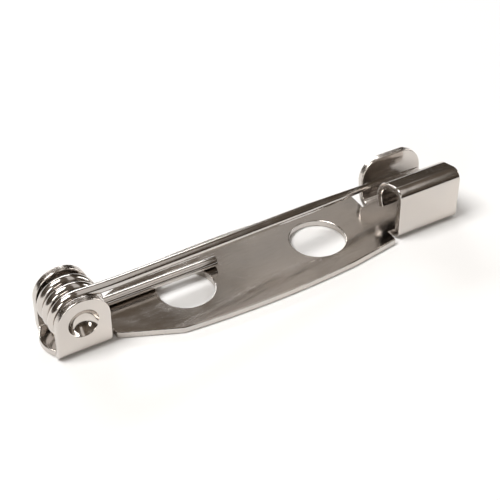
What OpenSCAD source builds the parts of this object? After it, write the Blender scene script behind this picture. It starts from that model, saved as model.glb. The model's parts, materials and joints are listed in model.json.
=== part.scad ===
// Brooch pin finding: a pressed steel bar with two hinge ears, a folded catch
// and a guard tab, and a sprung wire pin that is coiled between the ears.
// Millimetres. The bar's underside lies on z = 0, its catch end points to +X,
// and the pin swings on the Y axis line through the two ear dimples.

/* [Bar] */
// Length of the bar
bar_l = 25; // [22:0.5:38]
// Width across the middle of the bar
bar_w = 6.1; // [5.4:0.1:8]
// Width where the bowed long edges meet the tapers
shoulder_w = 5.6; // [4.8:0.1:6]
// Thickness of the sheet
sheet_t = 0.42; // [0.35:0.01:0.5]
// Diameter of the two fixing holes
hole_d = 3.2; // [2:0.1:4]
// Distance between the hole centres
hole_pitch = 8.5; // [6:0.25:9]
// Inside radius of the tight bends
bend_r = 0.15; // [0.1:0.01:0.25]
// Width of the relief notch beside each bent tab
relief_w = 0.3; // [0.2:0.05:0.5]
// How far the hinge end bows outwards
end_bow = 0.35; // [0.1:0.05:0.5]

/* [Hinge] */
// Length of each ear along the bar
ear_l = 3.1; // [2.8:0.1:3.6]
// Length of the taper from the ears to the bowed edges
hinge_taper_l = 3.3; // [2:0.1:4]
// Clearance between the dimple's boss and the coil around it
boss_clear = 0.175; // [0.05:0.025:0.3]
// Depth of the dimple from the ear's outer face
dimple_depth = 0.6; // [0.4:0.05:0.65]
// Height of the boss that the dimple raises inside
boss_h = 0.48; // [0.3:0.01:0.6]

/* [Spring pin] */
// Diameter of the wire
wire_d = 0.6; // [0.5:0.02:0.7]
// Outside diameter of the coil
coil_d = 3.3; // [3.2:0.05:3.6]
// Number of turns, always ending on the half
coil_turns = 2.5; // [1.5, 2.5, 3.5]
// Gap between neighbouring turns
strand_gap = 0.03; // [0.02:0.01:0.1]
// Gap between the coil and each ear
side_gap = 0.06; // [0.05:0.01:0.2]
// Gap between the coil and the bar under it
coil_lift = 0.05; // [0.03:0.01:0.15]
// Length over which the pin tapers to its point
point_l = 8; // [3:0.5:12]
// Diameter left at the very tip
tip_d = 0.08; // [0.04:0.02:0.2]
// Distance from the tip to the end of the bar
tip_setback = 0.7; // [0.3:0.1:1.5]
// Height of the closed tip above the bar
tip_h = 1.55; // [1.2:0.05:2.2]
// Length of the short tail that lies on the bar
tail_l = 9; // [3:0.25:10]

/* [Catch] */
// Length of the folded catch along the bar
catch_l = 4.1; // [3:0.1:4.6]
// Outside width of the bar across the catch
catch_w = 4.2; // [4:0.1:4.8]
// Height of the catch
catch_h = 3.4; // [3:0.05:4]
// Length of the taper from the bowed edges to the catch
catch_taper_l = 3.1; // [2:0.1:4]
// Length of the flat roof beyond the top fold
roof_l = 0.7; // [0.5:0.05:1]
// Slope of the roof below level
roof_slope = 15; // [8:1:20]
// Angle that the curled flange turns through
curl_turn = 105; // [95:1:115]
// Length of the flat lip at the flange's end
lip_l = 0.25; // [0.1:0.05:0.4]
// Clearance between the lip and a pin slid under it
lip_clear = 0.1; // [0.05:0.01:0.15]

/* [Guard tab] */
// Height of the guard tab
guard_h = 2.85; // [2.2:0.05:3.4]
// Inside radius of the guard tab's bend
guard_bend_r = 0.5; // [0.2:0.05:0.6]
// Lean of the guard tab away from the catch
guard_lean = 8; // [0:1:15]
// Radius of the guard tab's two top corners
guard_corner_r = 1.3; // [0.5:0.1:1.45]

/* [Hidden] */
$fn = 48;

// Through cuts run past both faces by this much
past = 1;

// Coil: the turns ease in and out over this share of a turn, so that the pin
// and the tail leave square to the hinge line
ease = 1 / 6;
turn_pitch = (wire_d + strand_gap) / (1 - ease / 2);
coil_span = turn_pitch * (coil_turns - ease);
coil_r = (coil_d - wire_d) / 2;
ear_gap = coil_span + wire_d + 2 * side_gap;
dimple_d = coil_d - 2 * wire_d - 2 * boss_clear;

// Hinge line and the stations along the bar
hinge_x = -bar_l / 2 + ear_l / 2;
hinge_z = sheet_t + coil_lift + coil_d / 2;
neck_x = -bar_l / 2 + ear_l + relief_w;
catch_x = bar_l / 2 - catch_l;
waist_x = catch_x - relief_w;
neck_w = ear_gap + sheet_t;
waist_w = catch_w + sheet_t;
bow_from = neck_x + hinge_taper_l;
bow_to = waist_x - catch_taper_l;

// Catch profile, worked out along its inner face as points [y, z]
wall_y = -(catch_w / 2 - sheet_t);
wall_l = catch_h - 2 * (sheet_t + bend_r);
fold_turn = 90 + roof_slope;
fold_centre = [wall_y + bend_r, catch_h - sheet_t - bend_r];
roof_normal = [sin(roof_slope), cos(roof_slope)];
roof_end = fold_centre + bend_r * roof_normal + roof_l * [cos(roof_slope), -sin(roof_slope)];

// The curl's inside radius fills the height between the roof and a lip that
// the pin can slide under
lip_turn = roof_slope + curl_turn;
lip_z = sheet_t + wire_d + lip_clear;
curl_r = (roof_end[1] + sheet_t * cos(lip_turn) - lip_l * sin(lip_turn) - lip_z)
    / (cos(roof_slope) - cos(lip_turn));
curl_y = roof_end[0] + curl_r * (1 - sin(roof_slope)) + sheet_t;

// Guard tab: the flat part beyond its bend
guard_flat_y = catch_w / 2 - sheet_t - guard_bend_r;
guard_foot_z = sheet_t + guard_bend_r * (1 - sin(guard_lean));
guard_l = (guard_h - guard_foot_z) / cos(guard_lean);

// The closed tip stands midway between the curl and the guard tab
tip_x = bar_l / 2 - tip_setback;
tip_z = sheet_t + tip_h;
guard_y = guard_flat_y + guard_bend_r * cos(guard_lean) + (tip_z - guard_foot_z) * tan(guard_lean);
tip_y = (curl_y + guard_y) / 2;

// Pin: it leaves the coil along the tangent that points at the tip
tip_reach = norm([tip_x - hinge_x, tip_z - hinge_z]);
leave_a = atan2(tip_z - hinge_z, tip_x - hinge_x) + acos(coil_r / tip_reach);
pin_l = sqrt(tip_reach * tip_reach - coil_r * coil_r);
pin_start = [hinge_x + coil_r * cos(leave_a), hinge_z + coil_r * sin(leave_a)];
pin_dir = [sin(leave_a), -cos(leave_a)];
pin_bend = 1.5;
pin_skew = (tip_y + coil_span / 2) / (pin_l - pin_bend);
land_a = 270 + 360 * floor(coil_turns);

// Wire mesh
wire_sides = 12;
coil_step = 15;
pin_rings = 6;
point_rings = 6;
taper_power = 0.8;
bow_steps = 8;

// Radius of the circle through a shallow bow: half chord c, rise s
function bow_r(c, s) = (c * c + s * s) / (2 * s);

// Half width of the bar along its bowed stretch, from the shoulders to the middle
function bar_half(x) = let (mid = (bow_from + bow_to) / 2, c = (bow_to - bow_from) / 2)
    shoulder_w / 2 + (bar_w - shoulder_w) / 2 * (1 - pow((x - mid) / c, 2));

// One long side of the bar between the two relief notches, side 1 or -1
function bar_side(side) = concat(
    [[neck_x, side * neck_w / 2]],
    [for (i = [0 : bow_steps])
        let (x = bow_from + (bow_to - bow_from) * i / bow_steps) [x, side * bar_half(x)]],
    [[waist_x, side * waist_w / 2]]);

function reversed(list) = [for (i = [len(list) - 1 : -1 : 0]) list[i]];
function unit(v) = v / norm(v);

// How far along the hinge line the wire has moved after u turns of the coil
function eased(u) = u < ease ? u * u / (2 * ease)
    : u > coil_turns - ease ? coil_turns - ease - pow(coil_turns - u, 2) / (2 * ease)
    : u - ease / 2;

// Sideways place of the pin at s along it: a soft bend, then straight
function pin_y(s) = -coil_span / 2
    + pin_skew * (s < 2 * pin_bend ? s * s / (4 * pin_bend) : s - pin_bend);
function pin_at(s) = [pin_start[0] + s * pin_dir[0], pin_y(s), pin_start[1] + s * pin_dir[1]];
function coil_at(a) = [hinge_x + coil_r * cos(a),
    -coil_span / 2 + turn_pitch * eased((a - leave_a) / (land_a - leave_a) * coil_turns),
    hinge_z + coil_r * sin(a)];
function tail_at(s) = [hinge_x + s, coil_span / 2, hinge_z - coil_r];

// Places along the pin, from the tip back to the coil
shank_l = pin_l - point_l;
point_s = [for (i = [0 : point_rings]) pin_l - point_l * i / point_rings];
shank_s = [for (i = [1 : pin_rings - 1]) shank_l - (shank_l - 2 * pin_bend) * i / pin_rings];
bend_s = [for (i = [4 : -1 : 1]) 2 * pin_bend * i / 4];

// Radius of the wire at s along the pin: full, then a slightly full taper to the tip
function pin_r(s) = s <= shank_l ? wire_d / 2
    : tip_d / 2 + (wire_d - tip_d) / 2 * pow((pin_l - s) / point_l, taper_power);

coil_count = ceil((land_a - leave_a) / coil_step);
wire_path = concat(
    [for (s = concat(point_s, shank_s, bend_s)) pin_at(s)],
    [for (i = [0 : coil_count]) coil_at(leave_a + (land_a - leave_a) * i / coil_count)],
    [tail_at(tail_l)]);
wire_r = concat(
    [for (s = concat(point_s, shank_s, bend_s)) pin_r(s)],
    [for (i = [0 : coil_count]) wire_d / 2],
    [wire_d / 2]);

// Round tube along a path that never runs parallel to Y
module tube(path, radii, sides) {
    last = len(path) - 1;
    points = [for (i = [0 : last])
        let (
            along = unit(path[min(i + 1, last)] - path[max(i - 1, 0)]),
            across = unit(cross([0, 1, 0], along)),
            up = cross(along, across))
        for (k = [0 : sides - 1])
            path[i] + radii[i] * (across * cos(360 * k / sides) + up * sin(360 * k / sides))];
    walls = [for (i = [0 : last - 1], k = [0 : sides - 1])
        let (a = i * sides + k, b = i * sides + (k + 1) % sides)
        each [[a, b, a + sides], [b, b + sides, a + sides]]];
    ends = [[for (k = [sides - 1 : -1 : 0]) k], [for (k = [0 : sides - 1]) last * sides + k]];
    polyhedron(points = points, faces = concat(walls, ends));
}

// The sheet tools work with the inner face at z = 0 and the sheet heading for +Y.
// Each one draws its own stretch and puts its children at the end of it.
module flat_run(width, run) {
    translate([0, 0, -sheet_t]) cube([width, run, sheet_t]);
    translate([0, run, 0]) children();
}

module bend_run(width, r, turn) {
    translate([0, 0, r]) {
        rotate([90, 0, 90]) rotate([0, 0, -90])
            rotate_extrude(angle = turn, $fn = 96) translate([r, 0]) square([sheet_t, width]);
        rotate([turn, 0, 0]) translate([0, 0, -r]) children();
    }
}

// Flat part of the bar, with the hinge strip, the catch strip and the holes
module bar_plate() {
    strip_half = ear_gap / 2 - bend_r;
    hook_half = catch_w / 2 - sheet_t - bend_r;
    end_r = bow_r(strip_half, end_bow);
    difference() {
        union() {
            linear_extrude(sheet_t) polygon(concat(bar_side(-1), reversed(bar_side(1))));
            translate([-bar_l / 2, -strip_half, 0])
                cube([neck_x + bar_l / 2, 2 * strip_half, sheet_t]);
            intersection() {
                translate([-bar_l / 2 - end_bow + end_r, 0, 0])
                    cylinder(r = end_r, h = sheet_t, $fn = 96);
                translate([-bar_l / 2 - end_bow, -strip_half, 0])
                    cube([end_bow, 2 * strip_half, sheet_t]);
            }
            translate([waist_x, -hook_half, 0])
                cube([bar_l / 2 - waist_x, hook_half + guard_flat_y, sheet_t]);
        }
        for (side = [-1, 1])
            translate([side * hole_pitch / 2, 0, -past])
                cylinder(d = hole_d, h = sheet_t + 2 * past);
    }
}

// Sphere radius of a dimple's face, from its mouth diameter and its depth
function cap_r(d, h) = (d * d / 4 + h * h) / (2 * h);

// One hinge ear on the +Y side, with its dimple pressed inwards
module ear() {
    ear_h = hinge_z - sheet_t - bend_r;
    boss_r = cap_r(dimple_d, boss_h);
    pit_r = cap_r(dimple_d, dimple_depth);
    translate([-bar_l / 2, ear_gap / 2 - bend_r, sheet_t])
        bend_run(ear_l, bend_r, 90)
            difference() {
                union() {
                    flat_run(ear_l, ear_h);
                    translate([ear_l / 2, ear_h, -sheet_t]) cylinder(d = ear_l, h = sheet_t);
                    intersection() {
                        translate([ear_l / 2, ear_h, boss_h - boss_r]) sphere(r = boss_r);
                        translate([0, ear_h - ear_l / 2, -sheet_t / 2])
                            cube([ear_l, ear_l, sheet_t / 2 + boss_h]);
                    }
                }
                translate([ear_l / 2, ear_h, -sheet_t + dimple_depth - pit_r]) sphere(r = pit_r);
            }
}

// Catch on the -Y side: wall, tight fold, sloping roof, curled flange and lip
module catch_hook() {
    mirror([0, 1, 0])
        translate([catch_x, -wall_y - bend_r, sheet_t])
            bend_run(catch_l, bend_r, 90)
                flat_run(catch_l, wall_l)
                    bend_run(catch_l, bend_r, fold_turn)
                        flat_run(catch_l, roof_l)
                            bend_run(catch_l, curl_r, curl_turn)
                                flat_run(catch_l, lip_l);
}

// Guard tab on the +Y side: a softer bend and a tongue with round corners
module guard_tab() {
    translate([catch_x, guard_flat_y, sheet_t])
        bend_run(catch_l, guard_bend_r, 90 - guard_lean) {
            flat_run(catch_l, guard_l - guard_corner_r);
            translate([guard_corner_r, 0, -sheet_t])
                cube([catch_l - 2 * guard_corner_r, guard_l, sheet_t]);
            for (x = [guard_corner_r, catch_l - guard_corner_r])
                translate([x, guard_l - guard_corner_r, -sheet_t])
                    cylinder(r = guard_corner_r, h = sheet_t);
        }
}

module base_bar() {
    color([0.77, 0.74, 0.72]) union() {
        bar_plate();
        ear();
        mirror([0, 1, 0]) ear();
        catch_hook();
        guard_tab();
    }
}

module spring_pin() {
    color([0.68, 0.66, 0.64]) tube(wire_path, wire_r, wire_sides);
}

base_bar();
spring_pin();
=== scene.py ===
# Brooch pin finding: the pressed bar and the sprung wire, remodelled with soft
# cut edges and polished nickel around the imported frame. Metres, Z up.
import bpy
import bmesh
import json
from math import acos, atan2, cos, degrees, hypot, pi, radians, sin, sqrt, tan
from mathutils import Matrix, Vector
from mathutils.kdtree import KDTree


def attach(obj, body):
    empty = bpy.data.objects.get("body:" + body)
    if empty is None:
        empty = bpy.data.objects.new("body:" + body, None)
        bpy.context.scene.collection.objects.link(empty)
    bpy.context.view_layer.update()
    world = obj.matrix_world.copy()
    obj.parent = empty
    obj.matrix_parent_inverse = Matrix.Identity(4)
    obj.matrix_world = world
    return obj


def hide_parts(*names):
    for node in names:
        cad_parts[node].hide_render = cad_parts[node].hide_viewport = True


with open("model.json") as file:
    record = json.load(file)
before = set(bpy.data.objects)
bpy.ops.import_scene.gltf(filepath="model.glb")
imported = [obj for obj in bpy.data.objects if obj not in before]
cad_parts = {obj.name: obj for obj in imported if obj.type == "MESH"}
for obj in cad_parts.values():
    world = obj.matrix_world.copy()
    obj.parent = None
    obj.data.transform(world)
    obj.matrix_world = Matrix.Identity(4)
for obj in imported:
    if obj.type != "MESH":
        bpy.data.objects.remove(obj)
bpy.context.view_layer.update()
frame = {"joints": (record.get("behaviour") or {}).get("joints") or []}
mm = 0.001
tiny = 0.004 * mm  # how close a point must be to count as on a line
shadeAngle = radians(40)  # edges sharper than this stay sharp
hinge = Vector(frame["joints"][0]["pos_m"])


# Small helpers for edit mode

def deselectAll():
    if bpy.context.mode != "OBJECT":
        bpy.ops.object.mode_set(mode="OBJECT")
    bpy.ops.object.select_all(action="DESELECT")


def editMode(kind="VERT"):
    bpy.ops.object.mode_set(mode="EDIT")
    bpy.ops.mesh.select_mode(type=kind)


def objectMode():
    bpy.ops.object.mode_set(mode="OBJECT")


# Selects what lies wholly where test(place) is true, and nothing else
def pick(test, kind="VERT"):
    bpy.ops.mesh.select_mode(type=kind)
    bpy.ops.mesh.select_all(action="DESELECT")
    mesh = bpy.context.edit_object.data
    bm = bmesh.from_edit_mesh(mesh)
    for item in {"VERT": bm.verts, "EDGE": bm.edges, "FACE": bm.faces}[kind]:
        corners = [item] if kind == "VERT" else item.verts
        if all(test(corner.co) for corner in corners):
            item.select_set(True)
    bmesh.update_edit_mesh(mesh)


def move(x=0, y=0, z=0):
    bpy.ops.transform.translate(value=(x, y, z))


def extrude(x=0, y=0, z=0):
    bpy.ops.mesh.extrude_region_move(TRANSFORM_OT_translate={"value": (x, y, z)})


def scaleAbout(value, centre):
    bpy.ops.transform.resize(value=value, center_override=centre)


def applyModifier(obj, kind, **settings):
    bpy.context.view_layer.objects.active = obj
    bpy.ops.object.modifier_add(type=kind)
    modifier = obj.modifiers[-1]
    for name, value in settings.items():
        setattr(modifier, name, value)
    bpy.ops.object.modifier_apply(modifier=modifier.name)


# The sheet's free edge is led along by its place (y, z in mm) and heading (degrees).
# A run goes straight on, a bend turns to the given side about a line along X.

def startEnd(y, z, heading, side):
    return {"y": y, "z": z, "heading": heading, "side": side}


def runOn(end, length):
    a = radians(end["heading"])
    extrude(y=length * cos(a) * mm, z=length * sin(a) * mm)
    end["y"] += length * cos(a)
    end["z"] += length * sin(a)


def bendOn(end, radius, turn, steps):
    a = radians(end["heading"])
    side = end["side"]
    centreY = end["y"] - side * radius * sin(a)
    centreZ = end["z"] + side * radius * cos(a)
    # spin turns against the right-hand rule, so its angle is negated
    bpy.ops.mesh.spin(steps=steps, angle=-side * radians(turn),
                      center=(0, centreY * mm, centreZ * mm), axis=(1, 0, 0))
    end["heading"] += side * turn
    a = radians(end["heading"])
    end["y"] = centreY + side * radius * sin(a)
    end["z"] = centreZ - side * radius * cos(a)


# The bar: one sheet, drawn along its middle surface and thickened at the end. In mm and degrees.

bar = {
    "length": 25.0, "width": 6.1, "shoulder": 5.6, "sheet": 0.42,
    "holeD": 3.2, "holePitch": 8.5, "bendR": 0.15, "relief": 0.3, "notchStep": 0.02, "endBow": 0.35,
    "earLength": 3.1, "sideGap": 0.06, "hingeTaper": 3.3, "earSteps": 12,
    "bossClear": 0.175, "pitMouth": 1.86, "pitDepth": 0.6, "bossHeight": 0.48, "lipRound": 0.09,
    "catchLength": 4.1, "catchWidth": 4.2, "catchHeight": 3.4, "catchTaper": 3.1,
    "roof": 0.7, "roofSlope": 15.0, "curlTurn": 105.0, "lip": 0.25, "lipClear": 0.1,
    "guardHeight": 2.85, "guardBendR": 0.5, "guardLean": 8.0, "guardCorner": 1.3,
    "bendSteps": 12, "curlSteps": 28, "bowSteps": 16, "endSteps": 5, "catchSteps": 8,
    "edgeRound": 0.075, "edgeSteps": 3, "edgeAngle": 50.0, "holeSides": 96,
}


# Where the bar's two long edges are, as (x, low y, high y) from the hinge end on
def barStations(b, gap):
    end = b["length"] / 2
    strip = gap / 2 - b["bendR"]
    bowR = (strip ** 2 + b["endBow"] ** 2) / (2 * b["endBow"])
    full = atan2(strip, bowR - b["endBow"])
    rows = []
    for k in range(b["endSteps"]):
        a = full * (2 * k + 1) / (2 * b["endSteps"] + 1)
        rows.append((-end - b["endBow"] + bowR * (1 - cos(a)), -bowR * sin(a), bowR * sin(a)))
    for k in range(b["earSteps"] + 1):
        rows.append((-end + b["earLength"] * k / b["earSteps"], -strip, strip))
    neckX = -end + b["earLength"] + b["relief"]
    neck = (gap + b["sheet"]) / 2
    rows.append((neckX - b["notchStep"], -strip, strip))
    rows.append((neckX, -neck, neck))
    bowFrom = neckX + b["hingeTaper"]
    waistX = end - b["catchLength"] - b["relief"]
    bowTo = waistX - b["catchTaper"]
    for k in range(b["bowSteps"] + 1):
        u = 2 * k / b["bowSteps"] - 1
        half = (b["shoulder"] + (b["width"] - b["shoulder"]) * (1 - u * u)) / 2
        rows.append((bowFrom + (bowTo - bowFrom) * k / b["bowSteps"], -half, half))
    waist = (b["catchWidth"] + b["sheet"]) / 2
    low = b["sheet"] + b["bendR"] - b["catchWidth"] / 2
    high = b["catchWidth"] / 2 - b["sheet"] - b["guardBendR"]
    rows.append((waistX, -waist, waist))
    rows.append((waistX + b["notchStep"], low, high))
    for k in range(b["catchSteps"] + 1):
        rows.append((end - b["catchLength"] * (1 - k / b["catchSteps"]), low, high))
    return rows


# A strip of faces, extruded from station to station at one height
def growPlate(rows, height):
    bpy.ops.mesh.primitive_plane_add(size=1, location=(0, 0, height * mm))
    plate = bpy.context.object
    bpy.ops.object.transform_apply(location=True)
    editMode("EDGE")
    for side, (x, low, high) in ((-1, rows[0]), (1, rows[1])):
        pick(lambda p: side * p.x > 0.2, "EDGE")
        move(x=x * mm - side * 0.5)
        scaleAbout((1, (high - low) * mm, 1), (0, 0, height * mm))
    for before, after in zip(rows[1:], rows[2:]):
        oldMiddle = (before[1] + before[2]) / 2
        newMiddle = (after[1] + after[2]) / 2
        widening = (after[2] - after[1]) / (before[2] - before[1])
        extrude(x=(after[0] - before[0]) * mm)
        scaleAbout((1, widening, 1), (after[0] * mm, oldMiddle * mm, height * mm))
        if abs(newMiddle - oldMiddle) > 1e-9:
            move(y=(newMiddle - oldMiddle) * mm)
    return plate


# Makes one face of a flat stretch, so that the bevel meets no thin strips there
def mergeFlat(test):
    pick(test, "FACE")
    bpy.ops.mesh.dissolve_faces()


# Wall, tight fold, sloping roof, curled flange and lip on the low side
def addCatch(b, curlR):
    low = b["sheet"] + b["bendR"] - b["catchWidth"] / 2
    catchX = b["length"] / 2 - b["catchLength"]
    foldR = b["bendR"] + b["sheet"] / 2
    pick(lambda p: abs(p.y - low * mm) < tiny and p.x > catchX * mm - tiny, "EDGE")
    end = startEnd(low, b["sheet"] / 2, 180, -1)
    bendOn(end, foldR, 90, b["bendSteps"])
    runOn(end, b["catchHeight"] - 2 * (b["sheet"] + b["bendR"]))
    bendOn(end, foldR, 90 + b["roofSlope"], b["bendSteps"])
    runOn(end, b["roof"])
    bendOn(end, curlR + b["sheet"] / 2, b["curlTurn"], b["curlSteps"])
    runOn(end, b["lip"])


# A softly bent tongue with two round corners on the high side
def addGuard(b):
    high = b["catchWidth"] / 2 - b["sheet"] - b["guardBendR"]
    catchX = b["length"] / 2 - b["catchLength"]
    pick(lambda p: abs(p.y - high * mm) < tiny and p.x > catchX * mm - tiny, "EDGE")
    end = startEnd(high, b["sheet"] / 2, 0, 1)
    bendOn(end, b["guardBendR"] + b["sheet"] / 2, 90 - b["guardLean"], b["bendSteps"])
    flatZ = end["z"] * mm
    lean = radians(b["guardLean"])
    foot = b["sheet"] + b["guardBendR"] * (1 - sin(lean))
    runOn(end, (b["guardHeight"] - foot) / cos(lean) - b["guardCorner"])
    middle = (b["length"] - b["catchLength"]) / 2
    half = b["catchLength"] / 2
    cornerSteps = 12
    width, risen = half, 0.0
    for k in range(1, cornerSteps + 1):
        a = pi / 2 * k / cornerSteps
        newWidth = half - b["guardCorner"] * (1 - cos(a))
        newRisen = b["guardCorner"] * sin(a)
        runOn(end, newRisen - risen)
        scaleAbout((newWidth / width, 1, 1), (middle * mm, 0, 0))
        width, risen = newWidth, newRisen
    mergeFlat(lambda p: p.y > 0 and p.x > catchX * mm - tiny and p.z > flatZ - tiny)


# A round-topped ear on one side, with flat rings that become its dimple later on
def addEar(b, gap, side):
    strip = gap / 2 - b["bendR"]
    hingeEnd = -b["length"] / 2
    pick(lambda p: abs(p.y - side * strip * mm) < tiny
         and hingeEnd * mm - tiny < p.x < (hingeEnd + b["earLength"]) * mm + tiny, "EDGE")
    end = startEnd(side * strip, b["sheet"] / 2, 0 if side > 0 else 180, side)
    bendOn(end, b["bendR"] + b["sheet"] / 2, 90, b["bendSteps"])
    radius = b["earLength"] / 2
    around = 4 * b["earSteps"]
    place = Vector((hinge.x, end["y"] * mm, hinge.z))
    bpy.ops.mesh.select_mode(type="VERT")
    bpy.ops.mesh.select_all(action="DESELECT")
    bpy.ops.mesh.primitive_circle_add(vertices=around, radius=radius * mm, fill_type="NGON",
                                      location=place, rotation=(pi / 2, 0, 0))
    bpy.ops.mesh.select_mode(type="FACE")
    inner = radius
    for ring in dimpleRings(b):
        bpy.ops.mesh.inset(thickness=(inner - ring) * cos(pi / around) * mm, depth=0)
        inner = ring
    bpy.ops.mesh.poke()
    squareFoot(b, place, end["z"] * mm)


# The rings' radii: one well outside the dimple, then from its mouth to its middle
def dimpleRings(b):
    mouth = b["pitMouth"] / 2
    return [mouth * share for share in (1.3, 1, 0.95, 0.9, 0.85, 0.8, 0.72, 0.62, 0.5, 0.38, 0.26, 0.13)]


# Moves the lower half of the round rim out to the ear's straight sides and foot
def squareFoot(b, place, footZ):
    radius = b["earLength"] / 2 * mm
    quarter = b["earSteps"]
    sideSteps = quarter // 2
    mesh = bpy.context.edit_object.data
    bm = bmesh.from_edit_mesh(mesh)
    for v in bm.verts:
        x, z = v.co.x - place.x, v.co.z - place.z
        if abs(v.co.y - place.y) > tiny or abs(hypot(x, z) - radius) > tiny or z > -tiny:
            continue
        step = round((degrees(atan2(z, x)) + 180) / 90 * quarter)  # 0 left to 2 * quarter right
        if step <= sideSteps:
            x, z = -radius, (footZ - place.z) * step / sideSteps
        elif step >= 2 * quarter - sideSteps:
            x, z = radius, (footZ - place.z) * (2 * quarter - step) / sideSteps
        else:
            x, z = 2 * radius * (step - sideSteps) / quarter - radius, footZ - place.z
        v.co.x, v.co.z = place.x + x, place.z + z
    bmesh.update_edit_mesh(mesh)


# (radius, depth) of a pressed hollow from its mouth to its middle: a lip arc, then a bowl arc
def pressedProfile(mouth, depth, lip, count):
    steep = 2 * atan2(depth, mouth)
    bowl = (mouth ** 2 + depth ** 2) / (2 * depth) - lip
    lipSteps = 4
    profile = []
    for k in range(count):
        if k < lipSteps:
            a = steep * k / lipSteps
            profile.append((mouth - lip * sin(a), lip * (1 - cos(a))))
        else:
            a = steep * (count - k) / (count - lipSteps)
            profile.append((bowl * sin(a), depth - bowl * (1 - cos(a))))
    return profile


# Presses both ears' rings inwards: a pit in the outer face, a lower boss on the inner one
def pressDimples(b, gap, bossD):
    rings = dimpleRings(b)[1:]
    for side in (-1, 1):
        for y, mouthD, depth in ((gap / 2 + b["sheet"], b["pitMouth"], b["pitDepth"]),
                                 (gap / 2, bossD, b["bossHeight"])):
            level = side * y * mm
            profile = pressedProfile(mouthD / 2, depth, b["lipRound"], len(rings))
            for ring, (newRadius, sink) in zip(rings, profile):
                pick(lambda p: abs(p.y - level) < tiny
                     and abs(hypot(p.x - hinge.x, p.z - hinge.z) - ring * mm) < tiny)
                scaleAbout((newRadius / ring, 1, newRadius / ring), (hinge.x, level, hinge.z))
                move(y=-side * sink * mm)
            pick(lambda p: abs(p.y - level) < tiny
                 and hypot(p.x - hinge.x, p.z - hinge.z) < tiny)
            move(y=-side * depth * mm)


# Rounds the sharp outer edges and leaves the notches' inner corners alone
def roundEdges(b):
    bpy.ops.mesh.select_mode(type="EDGE")
    bpy.ops.mesh.select_all(action="DESELECT")
    mesh = bpy.context.edit_object.data
    bm = bmesh.from_edit_mesh(mesh)
    for edge in bm.edges:
        if edge.is_convex and edge.calc_face_angle() > radians(b["edgeAngle"]):
            edge.select_set(True)
    bmesh.update_edit_mesh(mesh)
    bpy.ops.mesh.bevel(offset=b["edgeRound"] * mm, segments=b["edgeSteps"], profile=0.5,
                       clamp_overlap=False)


# (height, radius) up a punch that flares at both faces of the sheet, for rounded rims
def punchProfile(b):
    radius, rounding, sheet = b["holeD"] / 2, b["edgeRound"], b["sheet"]
    flare = radius + 1.2 * rounding
    lower = [(-0.5, flare), (-0.035 * rounding, flare)]  # wide until just under the sheet's face
    for turn in (20, 37.5, 55, 72.5, 90):
        a = radians(turn)
        lower.append((rounding * (1 - cos(a)), radius + rounding * (1 - sin(a))))
    return lower + [(sheet - height, width) for height, width in reversed(lower)]


# Two round holes, punched through the flat of the bar
def punchHoles(obj, b):
    profile = punchProfile(b)
    for side in (-1, 1):
        height, radius = profile[0]
        place = Vector((side * b["holePitch"] / 2, 0, height)) * mm
        deselectAll()
        bpy.ops.mesh.primitive_circle_add(vertices=b["holeSides"], radius=radius * mm,
                                          fill_type="NGON", location=place)
        punch = bpy.context.object
        editMode("FACE")
        bpy.ops.mesh.select_all(action="SELECT")
        for newHeight, newRadius in profile[1:]:
            extrude(z=(newHeight - height) * mm)
            scaleAbout((newRadius / radius, newRadius / radius, 1), place)
            height, radius = newHeight, newRadius
        bpy.ops.mesh.select_all(action="SELECT")
        bpy.ops.mesh.normals_make_consistent(inside=False)
        objectMode()
        punch.data.polygons.foreach_set("material_index", [1] * len(punch.data.polygons))
        deselectAll()
        obj.select_set(True)
        applyModifier(obj, "BOOLEAN", operation="DIFFERENCE", solver="EXACT", object=punch)
        bpy.data.objects.remove(punch, do_unlink=True)


# The second material slot marks the cut edges until here, then an attribute does
def markCutEdges(obj):
    mesh = obj.data
    marks = [float(face.material_index) for face in mesh.polygons]
    mesh.attributes.new("cutEdge", "FLOAT", "FACE").data.foreach_set("value", marks)
    mesh.polygons.foreach_set("material_index", [0] * len(marks))
    placeholders = list(mesh.materials)
    mesh.materials.clear()
    for placeholder in placeholders:
        bpy.data.materials.remove(placeholder)


# Smooth shading with each corner led by its larger faces, so that the flats stay flat.
# The Weighted Normal modifier can't weigh faces as small as these.
def shadeByArea(obj):
    bpy.context.view_layer.objects.active = obj
    obj.select_set(True)
    bpy.ops.object.shade_smooth_by_angle(angle=shadeAngle)
    mesh = obj.data
    around = [[] for v in mesh.vertices]
    for face in mesh.polygons:
        for v in face.vertices:
            around[v].append((face.normal.copy(), face.area / mm ** 2))
    normals = []
    for face in mesh.polygons:
        for v in face.vertices:
            near = [n * area for n, area in around[v] if n.dot(face.normal) > cos(shadeAngle)]
            normals.append(sum(near, Vector()).normalized())
    mesh.normals_split_custom_set(normals)


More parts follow.
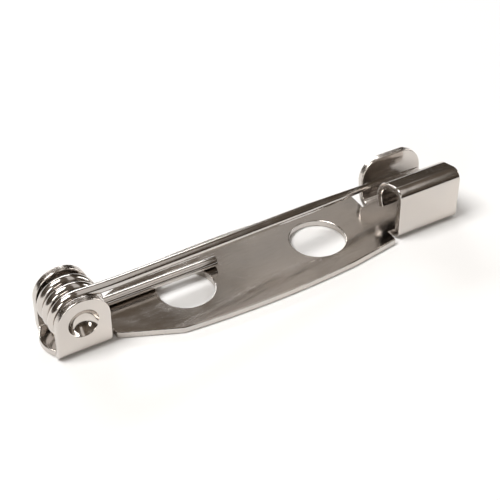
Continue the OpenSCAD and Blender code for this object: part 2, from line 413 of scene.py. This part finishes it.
def makeBar(b, w):
    gap = coilSpan(w) + w["wireD"] + 2 * b["sideGap"]
    bossD = w["coilD"] - 2 * w["wireD"] - 2 * b["bossClear"]
    bowFrom = b["earLength"] + b["relief"] + b["hingeTaper"] - b["length"] / 2
    bowTo = b["length"] / 2 - b["catchLength"] - b["relief"] - b["catchTaper"]
    deselectAll()
    obj = growPlate(barStations(b, gap), b["sheet"] / 2)
    obj.name = obj.data.name = "pressedBar"
    mergeFlat(lambda p: p.x < bowFrom * mm + tiny)
    mergeFlat(lambda p: p.x > bowTo * mm - tiny)
    addCatch(b, curlRadius(b, w))
    addGuard(b)
    addEar(b, gap, 1)
    addEar(b, gap, -1)
    bpy.ops.mesh.select_all(action="SELECT")
    bpy.ops.mesh.remove_doubles(threshold=2 * tiny)
    bpy.ops.mesh.normals_make_consistent(inside=False)
    objectMode()
    bpy.ops.object.transform_apply(location=True, rotation=True, scale=True)
    # two placeholder slots, so that the new rims can be told from the sheet's faces
    for name in ("sheetFace", "sheetCut"):
        obj.data.materials.append(bpy.data.materials.new(name))
    applyModifier(obj, "SOLIDIFY", thickness=b["sheet"] * mm, offset=0, use_even_offset=True,
                  material_offset_rim=1)
    editMode()
    pressDimples(b, gap, bossD)
    roundEdges(b)
    objectMode()
    punchHoles(obj, b)
    markCutEdges(obj)
    shadeByArea(obj)
    return obj


# The wire: a round section that is extruded and turned from place to place. In mm.

wire = {
    "wireD": 0.6, "coilD": 3.3, "turns": 2.5, "strandGap": 0.03, "ease": 1 / 6,
    "tail": 9.0, "point": 8.0, "tipD": 0.08, "tipBack": 0.7, "tipHeight": 1.55,
    "pinBend": 1.5, "taperPower": 0.8, "sides": 32, "perTurn": 72, "endRound": 0.06,
    "tailSteps": 6, "bendSteps": 8, "shankSteps": 5, "pointSteps": 20, "tipStops": (0.25, 0.1, 0.02, 0),
}


def coilPitch(w):
    return (w["wireD"] + w["strandGap"]) / (1 - w["ease"] / 2)


def coilSpan(w):
    return coilPitch(w) * (w["turns"] - w["ease"])


# Where the catch's roof ends on its inner face, as (y, z)
def roofEnd(b):
    slope = radians(b["roofSlope"])
    y = b["sheet"] + b["bendR"] - b["catchWidth"] / 2 + b["bendR"] * sin(slope) + b["roof"] * cos(slope)
    z = b["catchHeight"] - b["sheet"] - b["bendR"] * (1 - cos(slope)) - b["roof"] * sin(slope)
    return y, z


# The curl fills the height between the roof and a lip that the pin can slide under
def curlRadius(b, w):
    slope = radians(b["roofSlope"])
    lipTurn = slope + radians(b["curlTurn"])
    lipZ = b["sheet"] + w["wireD"] + b["lipClear"]
    height = roofEnd(b)[1] + b["sheet"] * cos(lipTurn) - b["lip"] * sin(lipTurn) - lipZ
    return height / (cos(slope) - cos(lipTurn))


# The closed tip stands midway between the curl and the guard tab
def tipPlace(b, w):
    z = b["sheet"] + w["tipHeight"]
    slope, lean = radians(b["roofSlope"]), radians(b["guardLean"])
    curlY = roofEnd(b)[0] + curlRadius(b, w) * (1 - sin(slope)) + b["sheet"]
    foot = b["sheet"] + b["guardBendR"] * (1 - sin(lean))
    flat = b["catchWidth"] / 2 - b["sheet"] - b["guardBendR"]
    guardY = flat + b["guardBendR"] * cos(lean) + (z - foot) * tan(lean)
    return b["length"] / 2 - w["tipBack"], (curlY + guardY) / 2, z


# Places along the wire's middle with its radius there, from the tail's end to the tip
def wirePath(b, w):
    coilR = (w["coilD"] - w["wireD"]) / 2
    pitch, span, full = coilPitch(w), coilSpan(w), w["wireD"] / 2
    middleX, middleZ = hinge.x / mm, hinge.z / mm
    tipX, tipY, tipZ = tipPlace(b, w)
    reach = hypot(tipX - middleX, tipZ - middleZ)
    leave = atan2(tipZ - middleZ, tipX - middleX) + acos(coilR / reach)
    land = 2 * pi * int(w["turns"]) + 1.5 * pi
    pinLength = sqrt(reach * reach - coilR * coilR)
    shank = pinLength - w["point"]
    skew = (tipY + span / 2) / (pinLength - w["pinBend"])

    # the turns ease in and out, so that the pin and the tail leave square to the hinge line
    def eased(u):
        if u < w["ease"]:
            return u * u / (2 * w["ease"])
        if u > w["turns"] - w["ease"]:
            return w["turns"] - w["ease"] - (w["turns"] - u) ** 2 / (2 * w["ease"])
        return u - w["ease"] / 2

    path = [((middleX + w["tail"] * (1 - k / w["tailSteps"]), span / 2, middleZ - coilR), full)
            for k in range(w["tailSteps"])]
    count = round((land - leave) / (2 * pi) * w["perTurn"])
    for k in range(count + 1):
        a = land + (leave - land) * k / count
        y = pitch * eased((1 - k / count) * w["turns"]) - span / 2
        path.append(((middleX + coilR * cos(a), y, middleZ + coilR * sin(a)), full))
    bend = 2 * w["pinBend"]
    stops = [bend * k / w["bendSteps"] for k in range(1, w["bendSteps"] + 1)]
    stops += [bend + (shank - bend) * k / w["shankSteps"] for k in range(1, w["shankSteps"] + 1)]
    stops += [shank + w["point"] * k / w["pointSteps"] for k in range(1, w["pointSteps"])]
    stops += [pinLength - left for left in w["tipStops"]]
    for s in sorted(stops):
        side = skew * (s * s / (2 * bend) if s < bend else s - bend / 2) - span / 2
        left = min(1, (pinLength - s) / w["point"])
        radius = w["tipD"] / 2 + (full - w["tipD"] / 2) * left ** w["taperPower"]
        path.append(((middleX + coilR * cos(leave) + s * sin(leave), side,
                      middleZ + coilR * sin(leave) - s * cos(leave)), radius))
    return [(Vector(place) * mm, radius * mm) for place, radius in path]


# Each point's place on the wire laid straight, which the drawn lines of the finish follow
def straighten(obj, path):
    places = [place for place, radius in path]
    nearest = KDTree(len(places))
    headings, travelled = [], [0.0]
    for k, place in enumerate(places):
        nearest.insert(place, k)
        headings.append((places[min(k + 1, len(places) - 1)] - places[max(k - 1, 0)]).normalized())
        if k:
            travelled.append(travelled[-1] + (place - places[k - 1]).length)
    nearest.balance()
    laid = obj.data.attributes.new("straightWire", "FLOAT_VECTOR", "POINT")
    for point, out in zip(obj.data.vertices, laid.data):
        k = nearest.find(point.co)[1]
        offset = point.co - places[k]
        up = headings[k].cross(Vector((0, 1, 0))).normalized()
        out.vector = (travelled[k] + offset.dot(headings[k]), offset.y, offset.dot(up))


def makeWire(b, w):
    path = wirePath(b, w)
    place, radius = path[0]
    deselectAll()
    bpy.ops.mesh.primitive_circle_add(vertices=w["sides"], radius=radius, fill_type="NGON",
                                      location=place, rotation=(0, pi / 2, 0))
    obj = bpy.context.object
    obj.name = obj.data.name = "springWire"
    editMode("FACE")
    bpy.ops.mesh.select_all(action="SELECT")
    last = len(path) - 1
    turned = 0.0
    for k in range(1, last + 1):
        place, newRadius = path[k]
        step = place - path[k - 1][0]
        ahead = path[min(k + 1, last)][0] - path[k - 1][0]
        extrude(step.x, step.y, step.z)
        # the section starts facing -X, so its turn about Y is measured from there
        heading = atan2(ahead.z, -ahead.x)
        turn = (heading - turned + pi) % (2 * pi) - pi
        bpy.ops.transform.rotate(value=-turn, orient_axis="Y", center_override=place)
        turned = heading
        if abs(newRadius / radius - 1) > 1e-9:
            thinning = newRadius / radius
            scaleAbout((thinning, thinning, thinning), place)
            radius = newRadius
    bpy.ops.mesh.select_all(action="SELECT")
    bpy.ops.mesh.normals_make_consistent(inside=False)
    objectMode()
    bpy.ops.object.transform_apply(location=True, rotation=True, scale=True)
    applyModifier(obj, "BEVEL", width=w["endRound"] * mm, segments=3, limit_method="ANGLE",
                  angle_limit=radians(60))
    straighten(obj, path)
    obj.select_set(True)
    bpy.ops.object.shade_smooth_by_angle(angle=shadeAngle)
    return obj


# Helpers for materials: each adds a node and gives back its output

def newMaterial(name):
    material = bpy.data.materials.new(name)
    material.use_nodes = True
    return material, material.node_tree, material.node_tree.nodes["Principled BSDF"].inputs


def addNode(tree, kind, inputs, output, **settings):
    node = tree.nodes.new(kind)
    for name, value in settings.items():
        setattr(node, name, value)
    for key, value in inputs.items():
        if isinstance(value, bpy.types.NodeSocket):
            tree.links.new(value, node.inputs[key])
        else:
            node.inputs[key].default_value = value
    return node.outputs[output]


def noise(tree, place, scale, detail=2.0, stretch=(1, 1, 1), turn=(0, 0, 0)):
    turned = addNode(tree, "ShaderNodeMapping", {"Vector": place, "Scale": stretch, "Rotation": turn},
                     "Vector")
    return addNode(tree, "ShaderNodeTexNoise", {"Vector": turned, "Scale": scale, "Detail": detail}, "Fac")


def spread(tree, value, fromLow, fromHigh, low, high):
    return addNode(tree, "ShaderNodeMapRange", {"Value": value, "From Min": fromLow, "From Max": fromHigh,
                                                "To Min": low, "To Max": high}, "Result")


def combine(tree, first, second, operation="ADD"):
    return addNode(tree, "ShaderNodeMath", {0: first, 1: second}, "Value", operation=operation)


def tint(tree, share, first, second):
    colours = [value if isinstance(value, bpy.types.NodeSocket) else (*value, 1)
               for value in (first, second)]
    return addNode(tree, "ShaderNodeMix", {0: share, 6: colours[0], 7: colours[1]}, 2, data_type="RGBA")


def bump(tree, height, depth, before=None):
    inputs = {"Height": height, "Distance": abs(depth) * mm, "Strength": 1.0}
    if before is not None:
        inputs["Normal"] = before
    return addNode(tree, "ShaderNodeBump", inputs, "Normal", invert=depth < 0)


# Polished nickel over steel. Depths and reaches are in mm, scales are per metre.

nickelSheet = {
    "cool": (0.575, 0.55, 0.53), "warm": (0.64, 0.595, 0.555), "cloud": 240,
    "edge": (0.74, 0.705, 0.67), "wearReach": 0.07, "wearPolish": -0.03,
    # painted shade: the dark colour, its largest share and its reach, for corners and recesses
    "paintedShade": (0.30, 0.25, 0.20), "paintedShadeShare": 0.55, "paintedShadeReach": 0.5,
    "grainScale": 2600, "grain": (0.4, 2.5, 2.5), "roughness": (0.10, 0.14), "grainDepth": 0.0001,
    "smearScale": 420, "smearRoughness": 0.10,
    "scratchScale": 19000, "scratch": (0.06, 1, 1),
    "scratchTurns": [(0, 0, 0.35), (0, 0, -0.6), (0.4, 0.2, 1.35)],
    "scratchRoughness": 0.07, "scratchDepth": -0.0003, "wave": 300, "waveDepth": 0.04,
}
nickelWire = {
    "cool": (0.56, 0.535, 0.515), "warm": (0.62, 0.58, 0.545), "cloud": 420,
    "edge": (0.70, 0.67, 0.63), "wearReach": 0.05, "wearPolish": -0.03,
    # painted shade: the dark colour, its largest share and its reach, for corners and recesses
    "paintedShade": (0.26, 0.22, 0.17), "paintedShadeShare": 0.6, "paintedShadeReach": 0.3,
    "grainScale": 3000, "grain": (0.15, 5, 5), "roughness": (0.09, 0.16), "grainDepth": 0.0003,
    "smearScale": 700, "smearRoughness": 0.08,
    "scratchScale": 16000, "scratch": (0.02, 1, 1), "scratchTurns": [(0, 0, 0), (0, 0, 0.02)],
    "scratchRoughness": 0.08, "scratchDepth": -0.0004, "wave": 600, "waveDepth": 0.005,
}
cutEdge = {"roughness": 0.09, "depth": 0.0012, "scale": 9000, "grain": (1, 1, 0.25)}


# Adds the rougher, sheared band of the cut edges where the piece has its mark
def roughenCuts(tree, place, c, rough, normal):
    mark = addNode(tree, "ShaderNodeAttribute", {}, "Fac", attribute_name="cutEdge")
    shear = noise(tree, place, c["scale"], 3, c["grain"])
    rough = combine(tree, rough, spread(tree, mark, 0, 1, 0, c["roughness"]))
    return rough, bump(tree, combine(tree, shear, mark, "MULTIPLY"), c["depth"], normal)


def nickel(name, m, laidOut=None, cut=None):
    material, tree, surface = newMaterial(name)
    surface["Metallic"].default_value = 1.0
    place = addNode(tree, "ShaderNodeTexCoord", {}, "Object")
    along = place
    if laidOut:
        along = addNode(tree, "ShaderNodeAttribute", {}, "Vector", attribute_name=laidOut)
    # colour: two close tones in soft clouds, brighter worn edges, and painted shade darkening corners and
    # recesses
    clouds = spread(tree, noise(tree, place, m["cloud"], 3), 0.35, 0.65, 0, 1)
    tone = tint(tree, clouds, m["cool"], m["warm"])
    rounded = addNode(tree, "ShaderNodeBevel", {"Radius": m["wearReach"] * mm}, "Normal", samples=6)
    plain = addNode(tree, "ShaderNodeNewGeometry", {}, "Normal")
    facing = addNode(tree, "ShaderNodeVectorMath", {0: rounded, 1: plain}, "Value",
                     operation="DOT_PRODUCT")
    wear = spread(tree, facing, 1.0, 0.9, 0, 1)
    tone = tint(tree, wear, tone, m["edge"])
    # painted shade: a dark brown mixed in where ambient occlusion is low, in corners, bends, between the
    # coil's strands and under the coil
    openness = addNode(tree, "ShaderNodeAmbientOcclusion", {"Distance": m["paintedShadeReach"] * mm}, "AO",
                       samples=6)
    tone = tint(tree, spread(tree, openness, 0.15, 0.75, m["paintedShadeShare"], 0), tone, m["paintedShade"])
    tree.links.new(tone, surface["Base Color"])
    # fine scratches: sets of thin streaks, each in its own direction
    streaks = None
    for turn in m["scratchTurns"]:
        lines = noise(tree, along, m["scratchScale"], 1, m["scratch"], turn)
        thin = spread(tree, lines, 0.63, 0.70, 0, 1)
        streaks = thin if streaks is None else combine(tree, streaks, thin, "MAXIMUM")
    grain = noise(tree, along, m["grainScale"], 4, m["grain"])
    smear = noise(tree, place, m["smearScale"], 2)
    rough = combine(tree, spread(tree, grain, 0.3, 0.7, *m["roughness"]),
                    spread(tree, smear, 0.5, 0.75, 0, m["smearRoughness"]))
    rough = combine(tree, rough, spread(tree, streaks, 0, 1, 0, m["scratchRoughness"]))
    rough = combine(tree, rough, spread(tree, wear, 0, 1, 0, m["wearPolish"]))
    # relief: soft unevenness, then grain, then scratches
    normal = bump(tree, noise(tree, place, m["wave"], 1), m["waveDepth"])
    normal = bump(tree, grain, m["grainDepth"], normal)
    normal = bump(tree, streaks, m["scratchDepth"], normal)
    if cut:
        rough, normal = roughenCuts(tree, place, cut, rough, normal)
    tree.links.new(rough, surface["Roughness"])
    tree.links.new(normal, surface["Normal"])
    return material


def dress(obj, material, body, node):
    obj.data.materials.append(material)
    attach(obj, body)
    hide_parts(node)


# Camera, floor and light

view = {"azimuth": -30.0, "elevation": 40.0, "lens": 100.0, "distance": 0.077,
        "target": (-0.0002, 0.0, 0.0014)}


def makeCamera(v):
    a, e = radians(v["azimuth"]), radians(v["elevation"])
    back = Vector((sin(a) * cos(e), -cos(a) * cos(e), sin(e)))
    deselectAll()
    bpy.ops.object.camera_add(location=Vector(v["target"]) + back * v["distance"],
                              rotation=back.to_track_quat("Z", "Y").to_euler())
    camera = bpy.context.object
    camera.data.lens = v["lens"]
    camera.data.clip_start, camera.data.clip_end = 0.001, 10
    bpy.context.scene.camera = camera


studio = {
    "floorSize": 3, "floorTone": (0.86, 0.86, 0.86),
    "floorGap": 0.00001,  # in m, so that the floor and the bar never share a plane
    "room": {"low": (0.034, 0.026, 0.019), "high": (0.15, 0.122, 0.095), "patch": 2.2, "patchShare": 1.1},
    # name: (place in m, size in m, power in W, colour, roll in degrees), each facing the middle
    "boxes": {
        "key": ((-0.16, 0.02, 0.34), (0.16, 0.20), 1.35, (1, 0.99, 0.975), 0),
        "back": ((0.02, 0.36, 0.20), (0.34, 0.06), 0.55, (0.97, 0.985, 1), 0),
        "side": ((0.36, -0.06, 0.15), (0.08, 0.24), 0.40, (1, 0.99, 0.97), 0),
        "front": ((-0.26, -0.26, 0.13), (0.07, 0.14), 0.22, (1, 0.985, 0.95), 0),
        "strip": ((0.133, -0.112, 0.305), (0.11, 0.56), 0.13, (1, 0.985, 0.96), -45),
        "sky": ((0.175, 0.264, 0.26), (0.06, 0.14), 0.0085, (1, 0.975, 0.94), 0),
    },
}


def softBox(name, place, size, power, colour, roll):
    facing = Vector(place).to_track_quat("Z", "Y").to_matrix()
    facing = facing @ Matrix.Rotation(radians(roll), 3, "Z")
    deselectAll()
    bpy.ops.object.light_add(type="AREA", location=place, rotation=facing.to_euler())
    light = bpy.context.object
    light.name = name
    light.data.shape = "RECTANGLE"
    light.data.size, light.data.size_y = size
    light.data.energy = power
    light.data.color = colour


# The room is dark below and paler above, in brown greys with soft patches
def makeRoom(r):
    world = bpy.data.worlds.new("room")
    world.use_nodes = True
    bpy.context.scene.world = world
    tree = world.node_tree
    direction = addNode(tree, "ShaderNodeTexCoord", {}, "Generated")
    height = addNode(tree, "ShaderNodeSeparateXYZ", {"Vector": direction}, "Z")
    patches = spread(tree, noise(tree, direction, r["patch"], 1), 0.3, 0.7, -0.5, 0.5)
    patches = combine(tree, patches, r["patchShare"], "MULTIPLY")
    paler = combine(tree, spread(tree, height, 0.1, 0.9, 0, 1), patches)
    tone = tint(tree, spread(tree, paler, 0, 1, 0, 1), r["low"], r["high"])
    tree.links.new(tone, tree.nodes["Background"].inputs["Color"])


def makeStudio(s):
    deselectAll()
    bpy.ops.mesh.primitive_plane_add(size=s["floorSize"], location=(0, 0, -s["floorGap"]))
    floor = bpy.context.object
    floor.name = "floor"
    paper, tree, surface = newMaterial("palePaper")
    surface["Base Color"].default_value = (*s["floorTone"], 1)
    surface["Roughness"].default_value = 0.9
    floor.data.materials.append(paper)
    for name, settings in s["boxes"].items():
        softBox(name, *settings)
    makeRoom(s["room"])
    bpy.context.scene.view_settings.view_transform = "Standard"


makeCamera(view)
print("camera set")
barPiece = makeBar(bar, wire)
dress(barPiece, nickel("polishedNickelSheet", nickelSheet, cut=cutEdge), "bar", "base_bar")
print("bar made:", len(barPiece.data.polygons), "faces")
wirePiece = makeWire(bar, wire)
dress(wirePiece, nickel("polishedNickelWire", nickelWire, "straightWire"), "pin", "spring_pin")
print("wire made:", len(wirePiece.data.polygons), "faces")
makeStudio(studio)
print("studio lit")
